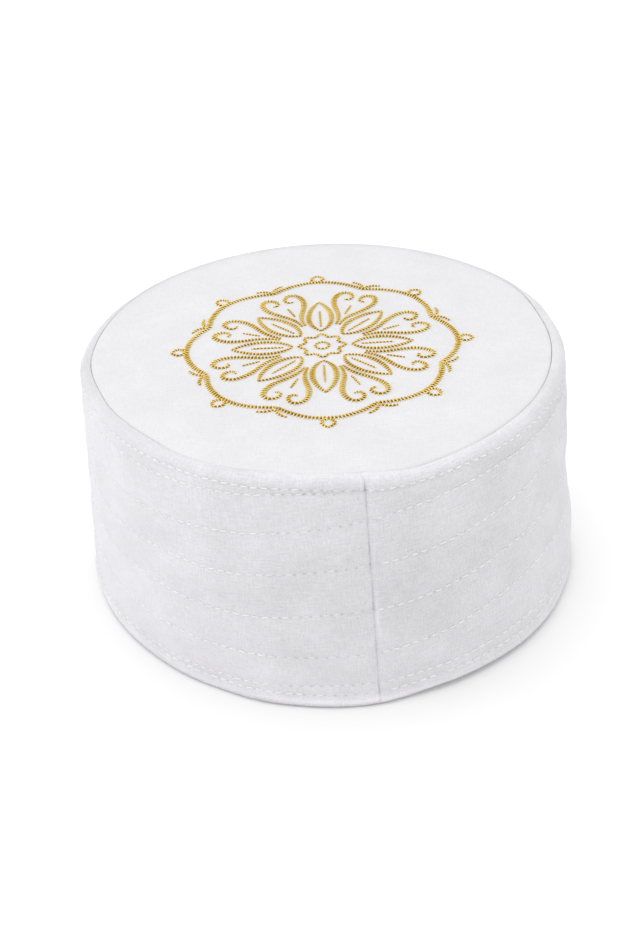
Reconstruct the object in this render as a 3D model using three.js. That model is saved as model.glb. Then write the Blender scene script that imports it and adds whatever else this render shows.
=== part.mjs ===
// A prayer cap of white quilted cotton: a flat round top panel sewn into a straight side band,
// with a ring of gold embroidery on the top. It stands on its hem, +Z up, millimetres.
// The front is towards -Y, and the origin is at the middle of the hem's box, on the surface.
import * as THREE from "three";

// Driving sizes
const headRound = 570; // round the head, measured inside the turned-in hem
const capHeight = 92; // from the surface to the top of the rolled rim
const rimInset = 5.3; // how much less the radius is at the rim than at the hem
const bandWall = 2.6; // two layers of cotton with a stiff cloth between them
const rollFill = 1.9; // what the folded seam allowances add to the rolled rim's radius
const seamDepth = 0.9; // how far the seam round the top panel sinks below the rim
const seamGap = 0.3; // clearance between the band and the panel sewn into it
const hemDepth = 12; // how far the hem is turned up inside
const hemFold = 1; // thickness of the turned-in cloth
const hemEdge = 1.2; // radius of the fold along the lower edge
const rowGroove = 0.5; // how far a row of quilting pulls the cloth in
const rowReach = 4; // how far above and below a row the cloth is drawn in
const rimRowDrop = 4.6; // from the top of the rim down to its own row of stitching
const joinAngle = -82.5; // where the band's two ends meet, in degrees round from +X
const joinReach = 2.2; // half the width of the crease where they meet
const joinDepth = 0.9; // depth of that crease
const panelWall = 1.8; // the top panel and its backing
const panelCurve = 2.4; // how far in from the seam the panel is rounded over
const allowanceDepth = 7; // the panel's edge, turned down inside the band
const allowanceWall = 1.2; // thickness of that edge
const motifRadius = 56; // from the middle of the embroidery to its furthest ring of stitches
const threadWidth = 2; // widest line of gold thread
const threadRise = 0.9; // how high the thread stands over the cloth
const threadGap = 0.3; // clearance between the thread and the cloth under it
const columnStep = 5; // degrees between the band's sections

const hemRadius = headRound / (2 * Math.PI) + hemFold + bandWall;
const rimRadius = hemRadius - rimInset;
const rollRadius = bandWall + rollFill;
const seamRadius = rimRadius - rollRadius;
const petals = 8;

// The cap isn't a true circle. Each row gives, at one angle round it, how far the hem and the
// seam of the top panel stand out there, as shares of their own radius.
const outline = [
  { angle: -180, hem: 0.001, seam: 0.013 },
  { angle: -160, hem: -0.005, seam: 0.001 },
  { angle: -140, hem: -0.015, seam: -0.018 },
  { angle: -120, hem: -0.011, seam: 0.013 },
  { angle: -104, hem: 0, seam: -0.003 },
  { angle: -84, hem: 0.011, seam: -0.002 },
  { angle: -72, hem: -0.001, seam: 0.014 },
  { angle: -60, hem: 0.003, seam: -0.001 },
  { angle: -40, hem: 0.013, seam: -0.004 },
  { angle: -14, hem: 0.022, seam: -0.002 },
  { angle: 12, hem: 0.014, seam: -0.006 },
  { angle: 50, hem: 0.003, seam: 0.003 },
  { angle: 100, hem: -0.002, seam: -0.002 },
  { angle: 145, hem: 0.002, seam: 0.004 },
];

// Soft dents and swellings of the side: where the middle lies, how far it reaches round and
// up the side, and how far it goes in or out as a share of the rim's radius.
const dents = [
  { angle: -4, height: 0.5, round: 20, tall: 0.13, depth: -0.013 },
  { angle: -12, height: 0.24, round: 18, tall: 0.11, depth: 0.007 },
  { angle: -128, height: 0.55, round: 26, tall: 0.2, depth: 0.006 },
  { angle: -100, height: 0.45, round: 14, tall: 0.16, depth: -0.005 },
  { angle: 70, height: 0.5, round: 30, tall: 0.2, depth: -0.006 },
  { angle: 160, height: 0.4, round: 22, tall: 0.16, depth: 0.005 },
];

// The quilting is a slow spiral, so each turn climbs and dips on its way round. Each row of the
// table is one turn from the hem up, with its height at four places as a share of the cap's.
const quilting = [
  { left: 0.052, join: 0.076, right: 0.08, back: 0.07 },
  { left: 0.226, join: 0.238, right: 0.272, back: 0.25 },
  { left: 0.398, join: 0.449, right: 0.475, back: 0.44 },
  { left: 0.543, join: 0.643, right: 0.683, back: 0.62 },
  { left: 0.742, join: 0.845, right: 0.815, back: 0.79 },
];
const quiltingPlaces = [
  { angle: -137, column: "left" },
  { angle: joinAngle, column: "join" },
  { angle: -45, column: "right" },
  { angle: 90, column: "back" },
];

// Where the rolled rim and the inside of the band are divided: degrees up the roll's curve, the
// last one being its crown, and shares of the cap's height
const rollSteps = [15, 40, 65];
const crownStep = 80;
const insideBend = 45;
const insideSteps = [0.7, 0.5, 0.25];

// The top panel is flat to its rounded edge. Each row of the edge gives how far in from the seam
// it lies, as a share of the rounding, and how far below the rim, as a share of the seam's depth.
const flatShares = [0.45, 0.8];
const panelEdge = [
  { inward: 2, down: 0 },
  { inward: 1, down: 0.15 },
  { inward: 0.35, down: 0.5 },
  { inward: 0, down: 1 },
];

// The value of something given at a few angles, eased from each one to the next
function roundTheCap(rows, angle, value) {
  for (let i = 0; i < rows.length; i += 1) {
    const from = rows[i];
    const to = rows[(i + 1) % rows.length];
    const span = (to.angle - from.angle + 360) % 360;
    const along = (angle - from.angle + 720) % 360;
    if (along < span) {
      return value(from) + (value(to) - value(from)) * THREE.MathUtils.smoothstep(along, 0, span);
    }
  }
  throw new Error("no place found at angle " + angle);
}

function anglesApart(a, b) {
  return ((a - b + 540) % 360) - 180;
}

function radiusOfHem(angle) {
  return hemRadius * (1 + roundTheCap(outline, angle, (row) => row.hem));
}

function radiusOfSeam(angle) {
  return seamRadius * (1 + roundTheCap(outline, angle, (row) => row.seam));
}

function heightOfRow(row, angle) {
  return capHeight * roundTheCap(quiltingPlaces, angle, (place) => row[place.column]);
}

// Radius of the smooth side at a height, with its dents but without its stitching
function radiusOfSide(angle, z) {
  const share = z / (capHeight - rollRadius);
  let radius = THREE.MathUtils.lerp(radiusOfHem(angle), rimRadius, Math.min(share, 1));
  for (const dent of dents) {
    const round = anglesApart(angle, dent.angle) / dent.round;
    const tall = (share - dent.height) / dent.tall;
    radius += dent.depth * rimRadius * Math.exp(-round * round - tall * tall);
  }
  return radius;
}

// How far the crease of the join pulls the cloth in at an angle
function creaseAt(angle) {
  const off = Math.abs(THREE.MathUtils.degToRad(anglesApart(angle, joinAngle))) * rimRadius;
  return joinDepth * Math.max(0, 1 - off / joinReach);
}

function at(angle, radius, z) {
  const turn = THREE.MathUtils.degToRad(angle);
  return new THREE.Vector3(radius * Math.cos(turn), radius * Math.sin(turn), z);
}

// A closed skin through rings of points. The last ring joins the first when the rings go all
// the way round; otherwise each end is closed by a fan about the middle of its ring.
function skin(rings, goesRound) {
  const points = rings.flat();
  const count = rings[0].length;
  const faces = [];
  const bands = goesRound ? rings.length : rings.length - 1;
  for (let i = 0; i < bands; i += 1) {
    const here = i * count;
    const next = ((i + 1) % rings.length) * count;
    for (let j = 0; j < count; j += 1) {
      const k = (j + 1) % count;
      faces.push([here + j, here + k, next + k], [here + j, next + k, next + j]);
    }
  }
  if (!goesRound) {
    for (const end of [0, rings.length - 1]) {
      const middle = new THREE.Vector3();
      rings[end].forEach((point) => middle.addScaledVector(point, 1 / count));
      points.push(middle);
      for (let j = 0; j < count; j += 1) {
        const fan = [end * count + j, end * count + ((j + 1) % count), points.length - 1];
        faces.push(end === 0 ? fan.reverse() : fan);
      }
    }
  }
  if (volumeInside(points, faces) < 0) {
    faces.forEach((face) => face.reverse());
  }
  const geometry = new THREE.BufferGeometry().setFromPoints(points);
  geometry.setIndex(faces.flat());
  geometry.computeVertexNormals();
  return geometry;
}

function volumeInside(points, faces) {
  let sum = 0;
  const across = new THREE.Vector3();
  for (const [a, b, c] of faces) {
    sum += points[a].dot(across.crossVectors(points[b], points[c])) / 6;
  }
  return sum;
}

// Angles of the band's sections: even steps from the join, and one close on each side of it
function sectionAngles() {
  const nearJoin = THREE.MathUtils.radToDeg(joinReach / rimRadius);
  const angles = [0, nearJoin];
  for (let step = columnStep; step < 360; step += columnStep) {
    angles.push(step);
  }
  angles.push(360 - nearJoin);
  return angles.map((angle) => angle + joinAngle);
}

// Outside of the band at one angle, from the lower edge to the seam of the top panel
function outsideOfBand(angle) {
  const side = (z, pulledIn) => {
    const radius = radiusOfSide(angle, z) - Math.max(pulledIn, creaseAt(angle));
    return at(angle, radius, z);
  };
  const points = [at(angle, radiusOfHem(angle) - hemEdge, 0), side(hemEdge, 0)];
  for (const row of quilting) {
    const z = heightOfRow(row, angle);
    const reach = Math.min(rowReach, (z - hemEdge) / 2);
    points.push(side(z - reach, 0), side(z, rowGroove), side(z + rowReach, 0));
  }
  points.push(side(capHeight - rimRowDrop, rowGroove));
  const seam = radiusOfSeam(angle) + seamGap / 2;
  const middle = capHeight - rollRadius;
  const across = radiusOfSide(angle, middle) - seam;
  for (const lift of rollSteps) {
    const turn = THREE.MathUtils.degToRad(lift);
    const radius = seam + across * Math.cos(turn) - creaseAt(angle);
    points.push(at(angle, radius, middle + rollRadius * Math.sin(turn)));
  }
  const crown = seam + across * Math.cos(THREE.MathUtils.degToRad(crownStep));
  points.push(at(angle, crown, capHeight - creaseAt(angle) / 2));
  points.push(at(angle, seam, capHeight - seamDepth));
  return points;
}

// Inside of the band at one angle, from the seam down to the lower edge
function insideOfBand(angle) {
  const seam = radiusOfSeam(angle) + seamGap / 2;
  const middle = capHeight - rollRadius;
  const inside = (z, fold) => at(angle, radiusOfSide(angle, z) - bandWall - fold, z);
  const across = radiusOfSide(angle, middle) - bandWall - seam;
  const bend = THREE.MathUtils.degToRad(insideBend);
  return [
    at(angle, seam, capHeight - bandWall),
    at(angle, seam + across * Math.sin(bend), middle + rollFill * Math.cos(bend)),
    inside(middle, 0),
    ...insideSteps.map((share) => inside(capHeight * share, 0)),
    inside(hemDepth + hemFold, 0),
    inside(hemDepth, hemFold),
    at(angle, radiusOfHem(angle) - bandWall - hemFold, 0),
  ];
}

function bandGeometry() {
  const sections = sectionAngles().map((angle) => [
    ...outsideOfBand(angle),
    ...insideOfBand(angle),
  ]);
  return skin(sections, true);
}

// Half of the top panel's section at one angle: over the top to the seam, down inside the
// band, and back under the panel. Each entry is a radius and a height.
function panelSection(angle) {
  const seam = radiusOfSeam(angle) - seamGap / 2;
  const middle = capHeight - rollRadius;
  const wall = (z) => radiusOfSide(angle, z) - bandWall - seamGap;
  const foot = middle - allowanceDepth;
  return [
    ...flatShares.map((share) => [seam * share, capHeight]),
    ...panelEdge.map((row) => [
      seam - panelCurve * row.inward,
      capHeight - seamDepth * row.down,
    ]),
    [seam, capHeight - bandWall - seamGap],
    [wall(middle), middle - seamGap],
    [wall(foot), foot],
    [wall(foot) - allowanceWall, foot],
    [wall(middle) - allowanceWall, middle - seamGap],
    [seam - allowanceWall, capHeight - panelWall],
    [seam * flatShares[0], capHeight - panelWall],
  ];
}

function panelGeometry() {
  const angles = sectionAngles();
  const sections = angles.map(panelSection);
  const rings = sections[0].map((_, i) =>
    angles.map((angle, j) => at(angle, sections[j][i][0], sections[j][i][1])),
  );
  return skin(rings, false);
}

// A line of raised gold thread along a flat path: a low three-cornered ridge. The path's points
// are shares of the motif's radius, and its width at each point is given as a share too.
function threadGeometry(path, goesRound, widthAt) {
  const points = path.map((point) => point.clone().multiplyScalar(motifRadius));
  const last = points.length - 1;
  const rings = points.map((point, i) => {
    const before = goesRound ? points[(i + last) % points.length] : points[Math.max(i - 1, 0)];
    const after = goesRound ? points[(i + 1) % points.length] : points[Math.min(i + 1, last)];
    const along = after.clone().sub(before).normalize();
    const half = (threadWidth / 2) * widthAt(i / points.length);
    const aside = new THREE.Vector2(-along.y, along.x).multiplyScalar(half);
    return [
      new THREE.Vector3(point.x + aside.x, point.y + aside.y, 0),
      new THREE.Vector3(point.x - aside.x, point.y - aside.y, 0),
      new THREE.Vector3(point.x, point.y, threadRise),
    ];
  });
  return skin(rings, goesRound);
}

// One side of a petal shape from its inner end to its outer end, as a chain of cubic curves
function petalSide(pieces, steps) {
  const points = [];
  pieces.forEach((corners, i) => {
    const curve = new THREE.CubicBezierCurve(...corners.map(([x, y]) => new THREE.Vector2(x, y)));
    points.push(...curve.getPoints(steps).slice(i === 0 ? 0 : 1));
  });
  return points;
}

function mirrored(side) {
  return side.map((point) => new THREE.Vector2(point.x, -point.y));
}

// Shapes of the motif, lying along +X, as shares of its radius
const leafSide = petalSide([[[0.2, 0], [0.27, 0.105], [0.47, 0.105], [0.6, 0]]], 7);
const leafPath = [...leafSide, ...mirrored(leafSide).slice(1, -1).reverse()];
const tulipSide = petalSide(
  [
    [[0.3, 0.012], [0.46, 0.012], [0.49, 0.11], [0.62, 0.14]],
    [[0.62, 0.14], [0.75, 0.165], [0.78, 0.055], [0.69, 0.03]],
  ],
  5,
);
const tulipPath = [...mirrored(tulipSide).reverse(), ...tulipSide];

function ringPath(points, radiusAt) {
  const path = [];
  for (let i = 0; i < points; i += 1) {
    const turn = (i / points) * 2 * Math.PI;
    const radius = radiusAt(turn);
    path.push(new THREE.Vector2(radius * Math.cos(turn), radius * Math.sin(turn)));
  }
  return path;
}

const rosettePath = ringPath(32, (turn) => 0.135 + 0.02 * Math.cos(petals * turn));
const garlandPath = ringPath(64, (turn) => 0.82 + 0.08 * Math.abs(Math.cos((petals / 2) * turn)));

// Materials
const cotton = { color: 0xeff0f4, roughness: 0.93, metalness: 0 };
const thread = { color: 0xc79a2c, roughness: 0.38, metalness: 0.7 };

const cap = new THREE.Group();

function add(name, geometry, finish, parent) {
  const mesh = new THREE.Mesh(geometry, new THREE.MeshStandardMaterial(finish));
  mesh.name = name;
  parent.add(mesh);
  return mesh;
}

// Cloth
const band = add("side_band", bandGeometry(), cotton, cap);
add("top_panel", panelGeometry(), cotton, cap);

// Embroidery, in the middle of the top panel
const embroidery = new THREE.Group();
embroidery.position.z = capHeight + threadGap;
cap.add(embroidery);
const evenWidth = () => 1;
const swelling = (share) => 0.55 + 0.45 * Math.sin(Math.PI * ((2 * share) % 1));
const fullInTheMiddle = (share) => 0.6 + 0.4 * Math.sin(Math.PI * share);
add("gold_rosette", threadGeometry(rosettePath, true, evenWidth), thread, embroidery);
add("gold_garland", threadGeometry(garlandPath, true, evenWidth), thread, embroidery);
for (let i = 0; i < petals; i += 1) {
  const turn = (i / petals) * 2 * Math.PI;
  const leaf = threadGeometry(leafPath, true, swelling);
  add(`gold_leaf_${i + 1}`, leaf, thread, embroidery).rotation.z = turn;
  const tulip = threadGeometry(tulipPath, false, fullInTheMiddle);
  add(`gold_tulip_${i + 1}`, tulip, thread, embroidery).rotation.z = turn + Math.PI / petals;
}

// The uneven hem is centred on the origin
band.geometry.computeBoundingBox();
const middleOfHem = band.geometry.boundingBox.getCenter(new THREE.Vector3());
cap.position.set(-middleOfHem.x, -middleOfHem.y, 0);

export default cap;
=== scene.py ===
# A prayer cap of white quilted cotton with gold embroidery on its flat top. The cap stands on its
# hem. Shapes are worked out in millimetres and turned into metres as each mesh is made.
import math

import bpy
import numpy as np
from mathutils import Matrix, Vector


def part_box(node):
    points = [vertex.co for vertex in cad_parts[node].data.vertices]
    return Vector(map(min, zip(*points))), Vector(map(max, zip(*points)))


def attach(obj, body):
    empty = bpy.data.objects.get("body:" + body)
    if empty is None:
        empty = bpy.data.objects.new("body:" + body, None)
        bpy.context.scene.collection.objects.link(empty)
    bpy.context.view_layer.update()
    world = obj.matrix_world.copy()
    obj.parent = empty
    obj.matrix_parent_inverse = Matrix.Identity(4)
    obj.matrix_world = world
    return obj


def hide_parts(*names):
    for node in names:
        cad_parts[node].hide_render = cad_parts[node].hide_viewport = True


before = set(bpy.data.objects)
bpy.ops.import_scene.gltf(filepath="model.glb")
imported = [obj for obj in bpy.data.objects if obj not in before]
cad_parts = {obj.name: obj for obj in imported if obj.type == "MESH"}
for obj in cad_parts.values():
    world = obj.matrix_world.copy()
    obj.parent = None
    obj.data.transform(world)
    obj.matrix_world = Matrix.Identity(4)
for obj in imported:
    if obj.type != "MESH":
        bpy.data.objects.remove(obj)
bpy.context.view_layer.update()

# Side band. A strip of white cotton on a stiff backing, quilted in a slow spiral and joined end
# to end by one upright seam at the front. Its upper edge rolls over into the seam of the top,
# and its lower edge is turned up inside and stitched down.
MM = 0.001
garland_low, garland_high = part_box("gold_garland")
CAP_MIDDLE = np.array([garland_low.x + garland_high.x, garland_low.y + garland_high.y]) / 2 / MM
CAP_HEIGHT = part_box("side_band")[1].z / MM
HEM_RADIUS = 94.32
RIM_RADIUS = 89.02
BAND_WALL = 2.6
ROLL_RADIUS = 4.5
ROLL_CROWN = 0.46
SEAM_RADIUS = RIM_RADIUS - ROLL_RADIUS
SEAM_DEPTH = 0.95
HEM_FOLD = 1.0
HEM_DEPTH = 12.0
HEM_EDGE = 2.75
HEM_SWELL = 0.38
UNDERSIDE_BELOW = 1.0
UNDERSIDE_RISE = 0.75
ARC_RADIUS = 91.5
STITCH_PITCH = 3.5
ROW_SHIFT = 1.7
PUCKER_DEPTH = 0.055
PILLOW_RISE = 0.26
JOIN_AT_HEM = -82.2
JOIN_AT_RIM = -83.4
SLIT_WIDTH = 0.34
FOLD_PLACE = 1.8
FOLD_RISE = 0.30
THREAD_COUNT = 62.0
# Same cotton as the top. This tint is a little bluer than the top's: painted cool shade on the side.
BAND_TINT = (0.710, 0.704, 0.732)

# The uneven round of the cap: an angle, then by what share the hem, the top's seam and the rim
# stand out from their even circles there
OUTLINE = np.array([
    (-180, 0.009, 0.015, 0.011),
    (-160, -0.006, -0.009, -0.003),
    (-140, -0.012, -0.024, 0.0),
    (-120, -0.004, -0.006, 0.0),
    (-104, 0.012, -0.018, 0.0),
    (-84, 0.021, -0.012, 0.002),
    (-72, 0.012, 0.008, 0.003),
    (-60, 0.014, 0.003, 0.001),
    (-40, 0.021, -0.005, 0.002),
    (-14, 0.015, -0.007, 0.002),
    (8, 0.010, -0.004, 0.0),
    (28, 0.006, 0.020, -0.008),
    (50, 0.003, 0.026, -0.016),
    (100, -0.002, 0.028, -0.011),
    (145, 0.002, 0.022, -0.005),
])

# Soft dents and swellings of the side: angle, height, reach round, reach up, depth
DENTS = (
    (-4, 0.5, 20, 0.13, -0.013),
    (-12, 0.24, 18, 0.11, 0.007),
    (-128, 0.55, 26, 0.2, 0.006),
    (-100, 0.45, 14, 0.16, -0.005),
    (70, 0.5, 30, 0.2, -0.006),
    (160, 0.4, 22, 0.16, 0.005),
)

# Height of each row of stitches in millimetres, at places round the cap. The hem's row is the
# lowest, and the quilting's last turn runs into the rim's row at the front.
ROW_PLACES = np.array([-150, -130, -115, -100, -89, -82, -75, -64, -50, -30, 40, 120])
HEM_ROW = (5.5, 5.5, 5.5, 5.5, 5.7, 5.7, 6.2, 7.0, 7.2, 7.2, 5.8, 5.5)
QUILTING = (
    (7.4, 7.4, 7.9, 8.9, 10.0, 9.8, 10.0, 10.8, 12.0, 12.6, 10.0, 8.0),
    (21.5, 20.6, 20.9, 21.3, 22.3, 22.4, 23.4, 25.4, 30.0, 33.0, 28.0, 23.0),
    (39.5, 37.8, 36.6, 38.0, 40.6, 40.4, 41.3, 43.7, 47.5, 50.0, 46.0, 41.0),
    (54.0, 53.8, 53.5, 56.0, 58.4, 58.8, 59.5, 61.6, 65.4, 68.0, 62.0, 56.0),
    (69.0, 68.2, 70.1, 72.4, 75.1, 76.4, 78.4, 80.6, 82.6, 83.0, 79.0, 73.0),
)
LAST_TURN = (84.2, 84.6, 85.2, 87.0, 86.9, 85.9, 86.0, 86.9, 87.0, 86.8, 86.0, 85.0)
RIM_ROW = (89.9, 90.0, 89.2, 88.8, 88.1, 86.9, 87.0, 88.3, 88.7, 88.6, 88.2, 88.4)
ALL_ROWS = (HEM_ROW, *QUILTING, LAST_TURN, RIM_ROW)
ROW_SMOOTHING = (-6, -3, 0, 3, 6)


def eased(angle, places, values):
    """Values given at a few angles round the cap, eased from each one to the next."""
    places = np.append(places, places[0] + 360.0)
    values = np.append(values, values[0])
    wrapped = (angle - places[0]) % 360.0 + places[0]
    here = np.clip(np.searchsorted(places, wrapped, side="right") - 1, 0, len(places) - 2)
    along = (wrapped - places[here]) / (places[here + 1] - places[here])
    return values[here] + (values[here + 1] - values[here]) * along * along * (3 - 2 * along)


def apart(a, b):
    """Degrees from b to a, the short way round."""
    return (a - b + 180.0) % 360.0 - 180.0


def bell(off, reach, power=2):
    """1 in the middle, falling to 0 past its reach. A higher power keeps the middle flat."""
    return np.exp(-((off / reach) ** power))


def around(angle, middle, reach, power=2):
    """A bell round the cap, about a middle and with a reach in degrees."""
    return bell(apart(angle, middle), reach, power)


def hem_radius(angle):
    return HEM_RADIUS * (1 + eased(angle, OUTLINE[:, 0], OUTLINE[:, 1]))


def seam_radius(angle):
    return SEAM_RADIUS * (1 + eased(angle, OUTLINE[:, 0], OUTLINE[:, 2]))


def row_height(row, angle):
    """Height of a row, smoothed over a few degrees."""
    near = [np.interp(angle + off, ROW_PLACES, row, period=360) for off in ROW_SMOOTHING]
    return sum(near) / len(near)


def side_radius(angle, z):
    """The smooth side, with its dents but without its stitching."""
    share = z / (CAP_HEIGHT - ROLL_RADIUS)
    rim = RIM_RADIUS * (1 + eased(angle, OUTLINE[:, 0], OUTLINE[:, 3]))
    radius = hem_radius(angle) + (rim - hem_radius(angle)) * np.minimum(share, 1)
    for middle, height, round_reach, up_reach, depth in DENTS:
        off = (apart(angle, middle) / round_reach) ** 2 + ((share - height) / up_reach) ** 2
        radius = radius + depth * RIM_RADIUS * np.exp(-off)
    return radius


def ripples(seed, angle, height, slowest, fastest, reach, count=14):
    """Soft unevenness of cloth: waves of many lengths that close up round the cap."""
    draws = np.random.default_rng(seed)
    total = np.zeros(np.broadcast(angle, height).shape)
    for _ in range(count):
        waves = draws.integers(slowest, fastest + 1) * draws.choice([-1, 1])
        rise = draws.uniform(-1, 1) * 2 * math.pi / reach
        total += np.cos(np.radians(angle) * waves + height * rise + draws.uniform(0, 6.28))
    return total / math.sqrt(count)


def join_angle(z):
    return JOIN_AT_HEM + (JOIN_AT_RIM - JOIN_AT_HEM) * z / CAP_HEIGHT


def groove(distance):
    """How far a row of stitches pulls the cloth in, at a distance from the row: a narrow crease
    along the thread, in a wider hollow."""
    return 0.16 * bell(distance, 0.55) + 0.20 * bell(distance, 2.2)


def last_turn_shows(angle):
    """1 where the quilting's last turn stands clear of the rim's row, from the back to the front."""
    past = (join_angle(CAP_HEIGHT) - angle) % 360.0
    return np.clip((past - 4) / 4, 0, 1) * np.clip((215 - past) / 6, 0, 1)


def crease(angle, z):
    """The join: a narrow, uneven slit, with the cloth on its right standing a little higher."""
    off = np.radians(apart(angle, join_angle(z))) * ARC_RADIUS
    depth = 0.64 + 0.14 * np.sin(z / 3.1) + 0.10 * np.sin(z / 1.3 + 1.0)
    slit = -depth * bell(np.abs(off), SLIT_WIDTH, 1.3)
    past_top = off - FOLD_PLACE
    reach = np.where(past_top < 0, 0.95, 2.8)
    return slit + FOLD_RISE * bell(past_top, reach) - 0.12 * bell(off, 2.4)


def rim_sag(angle):
    """How far the rim dips just right of the join, where the cloth is thickest."""
    return 0.9 * around(angle, -72, 11)


def seam_opens(angle):
    """How open the seam round the top is: it closes up almost wholly at the front and the back."""
    front = around(angle, -104, 26, 4)
    rear = around(angle, 92, 66, 6)
    left = 0.68 * around(angle, 180, 54)
    right = 0.45 * around(angle, 5, 40)
    return 0.03 + 0.90 * (1 - front) * (1 - rear) * (1 - left) * (1 - right)


def gathers(angle):
    """Where the rows pull the cloth in harder: along the last few centimetres before the join."""
    return around(angle, -93, 12, 4)


def rim_gathers(angle):
    """The same for the rim's own row, where it goes on further round to the left."""
    return np.maximum(gathers(angle), 0.85 * around(angle, -101, 17, 4))


def lifted(angle):
    """How far the whole hem is off the ground: at the front's right it doesn't quite touch."""
    return 1.65 * around(angle, -36, 38, 6)


def on_flank(angle):
    """0 round the front, 1 at both sides, and lower at the back. There the rows pull the cloth in less,
    and the weave's contrast, the needle pits and the white stitches are painted fainter, standing in for
    the light flattening them against the cloth.
    """
    back = 0.7 * around(angle, 90, 70, 4)
    return (1 - around(angle, -83, 53, 6)) * (1 - back)


def painted_light_on_band(angle, z):
    """Painted light on the band: a painted highlight on the fold beside the join, on the hem's folded
    edge and low down to the join's left, where they catch the light. To the right of the join a little
    painted shade makes the cloth greyer."""
    off = np.radians(apart(angle, join_angle(z))) * ARC_RADIUS
    fold = (0.02 + 0.11 * bell(z - 39, 9)) * bell(off - 1.1, 0.7)
    edge = 0.06 + 0.17 * around(angle, -88, 17, 4)
    edge = edge / (1 + np.exp((z - 4.0) / 0.4))
    greyer = 0.08 * around(angle, -72, 26) * bell(z - 48, 22)
    lighter = 0.035 * around(angle, -100, 14) * bell(z - 12, 9)
    return fold + edge + lighter - greyer


def row_shift(number):
    """How far the stitches of a row are shifted against those of the hem's row."""
    return number * ROW_SHIFT * STITCH_PITCH / (2 * math.pi)


def relief(angle, z):
    """How far the quilted cloth stands out from the smooth side. Also gives the distance to
    the nearest row and how far along that row the place is."""
    run = np.radians((angle - join_angle(z)) % 360.0) * ARC_RADIUS
    nearest = np.full(np.shape(z), 99.0)
    along = np.zeros(np.shape(z))
    out = np.zeros(np.shape(z))
    for number, row in enumerate(ALL_ROWS):
        gap = np.abs(z - row_height(row, angle))
        shows = last_turn_shows(angle) if row is LAST_TURN else 1.0
        shift = row_shift(number)
        pucker = np.cos(2 * math.pi * (run + shift) / STITCH_PITCH)
        wander = ripples(40 + number, angle, z, 20, 60, 30, 6)
        gathered = 2.2 if row in (LAST_TURN, RIM_ROW) else 0.4
        hard = 1 + gathers(angle) * gathered - 0.22 * on_flank(angle)
        pull = PUCKER_DEPTH * pucker * (1 + wander) * np.exp(-gap / 1.5) - groove(gap)
        out = out + shows * hard * pull
        closer = (gap < nearest) & (np.broadcast_to(shows, gap.shape) > 0.5)
        along = np.where(closer, run + shift, along)
        nearest = np.where(closer, gap, nearest)
    out = out + PILLOW_RISE * (1 - bell(nearest, 5.0))
    out = out + 0.14 * ripples(3, angle, z, 3, 12, 60) + 0.06 * ripples(4, angle, z, 14, 40, 24)
    out = out + HEM_SWELL * bell(z - 3.6, 2.0)
    return out + crease(angle, z), nearest, along


def place(radius, angle, z):
    """Points of the cap in metres, from distances round its own middle in millimetres."""
    turn = np.radians(angle)
    x = CAP_MIDDLE[0] + radius * np.cos(turn)
    y = CAP_MIDDLE[1] + radius * np.sin(turn)
    return np.stack(np.broadcast_arrays(x, y, z), axis=-1) * MM


def make_piece(name, points, faces, material):
    """A smooth mesh piece from an array of points and an array of four-cornered faces."""
    mesh = bpy.data.meshes.new(name)
    mesh.vertices.add(len(points))
    mesh.vertices.foreach_set("co", np.asarray(points, np.float32).ravel())
    mesh.loops.add(faces.size)
    mesh.loops.foreach_set("vertex_index", np.asarray(faces, np.int32).ravel())
    mesh.polygons.add(len(faces))
    starts = np.arange(0, faces.size, faces.shape[1], dtype=np.int32)
    mesh.polygons.foreach_set("loop_start", starts)
    mesh.update(calc_edges=True)
    mesh.shade_smooth()
    mesh.materials.append(material)
    piece = bpy.data.objects.new(name, mesh)
    bpy.context.scene.collection.objects.link(piece)
    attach(piece, "root")
    return piece


def add_flat_map(piece, name, coordinates):
    """A flat map of the cloth, given in millimetres for each corner of each face. The material
    reads it in tenths of a metre."""
    layer = piece.data.uv_layers.new(name=name)
    layer.data.foreach_set("uv", np.asarray(coordinates / 100, np.float32).ravel())


def add_number(piece, name, values):
    """A number at each point that the material reads."""
    layer = piece.data.attributes.new(name, "FLOAT", "POINT")
    layer.data.foreach_set("value", np.asarray(values, np.float32).ravel())


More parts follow.
